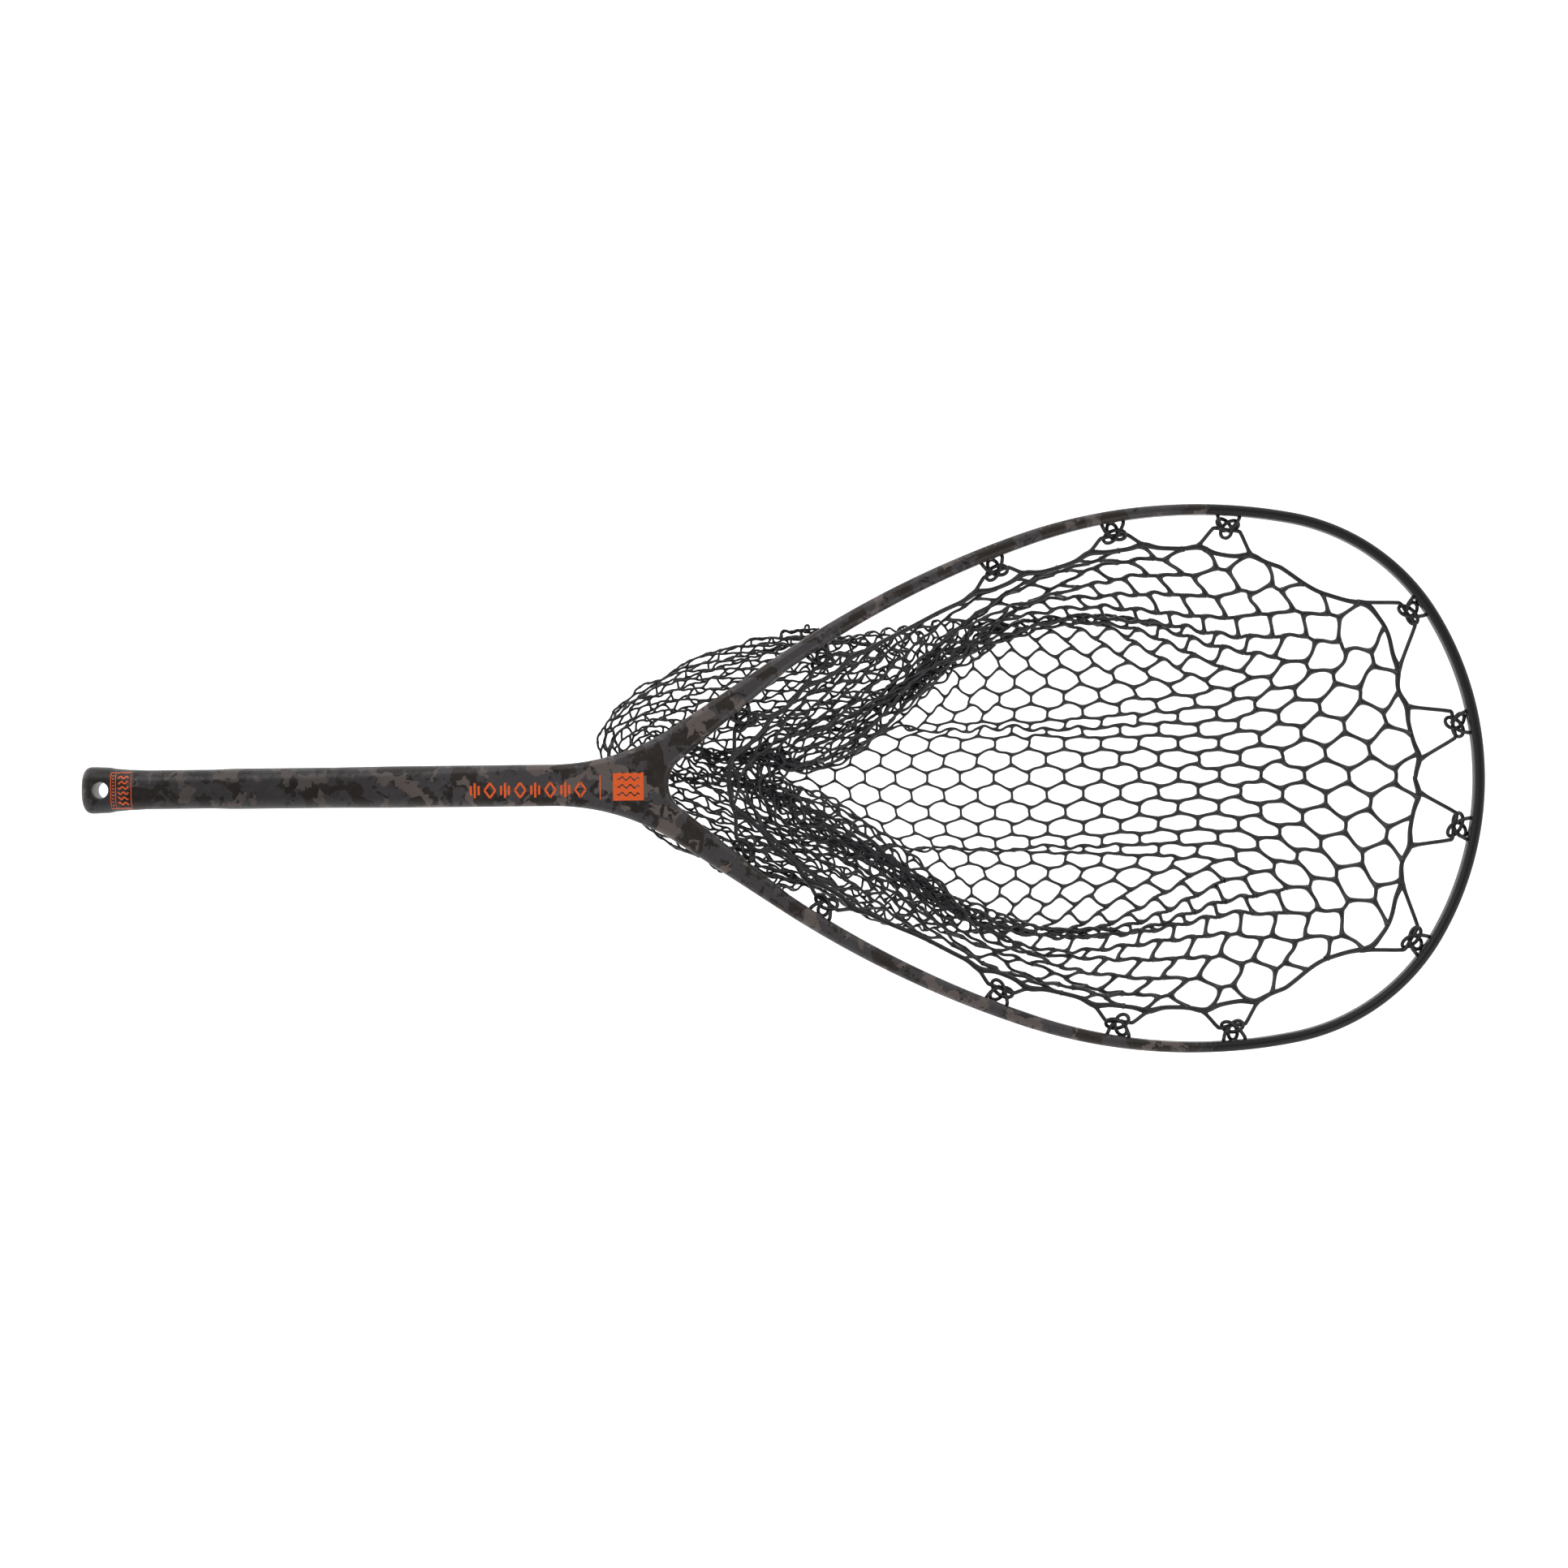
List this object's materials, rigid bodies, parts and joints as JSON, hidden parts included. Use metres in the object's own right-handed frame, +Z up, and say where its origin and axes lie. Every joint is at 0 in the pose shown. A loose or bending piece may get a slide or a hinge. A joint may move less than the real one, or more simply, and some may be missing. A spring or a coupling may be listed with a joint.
{
  "type": "landing net",
  "caption": "Mid-length landing net with a camouflage composite handle and teardrop hoop, and a black rubber mesh bag laced on with rubber ties.",
  "frame": {"origin": "middle of the footprint on the surface under the folded bag", "axes": "+X from the butt to the front of the hoop, +Y to the left side, +Z up out of the hoop"},
  "size_m": [0.94, 0.3674, 0.041],
  "materials": {
    "camo_composite": "satin",
    "carbon_weave": "satin",
    "net_rubber": "satin",
    "tie_rubber": "satin",
    "foam": "matte",
    "insert": "matte",
    "print": "satin"
  },
  "bodies": {
    "frame": {"grip_shell": "camo_composite", "grip_core": "foam", "yoke": "camo_composite", "yoke_tenon": "insert", "left_arm": "camo_composite", "right_arm": "camo_composite", "left_arm_spigot": "insert", "right_arm_spigot": "insert", "front_bow": "carbon_weave", "left_bow_ferrule": "insert", "right_bow_ferrule": "insert", "net_header": "net_rubber", "tie_01": "tie_rubber", "tie_02": "tie_rubber", "tie_03": "tie_rubber", "tie_04": "tie_rubber", "tie_05": "tie_rubber", "tie_06": "tie_rubber", "tie_07": "tie_rubber", "tie_08": "tie_rubber", "tie_09": "tie_rubber", "tie_10": "tie_rubber", "tie_11": "tie_rubber", "tie_12": "tie_rubber", "tie_13": "tie_rubber", "tie_14": "tie_rubber"},
    "net_bag": {"net_bag": "net_rubber"}
  },
  "joints": [
    {"name": "bag_drop", "type": "hinge", "parent": "frame", "child": "net_bag", "pos_m": [0.4255, 0, 0.024], "axis": [0, -1, 0], "range_deg": [0, 38]}
  ]
}
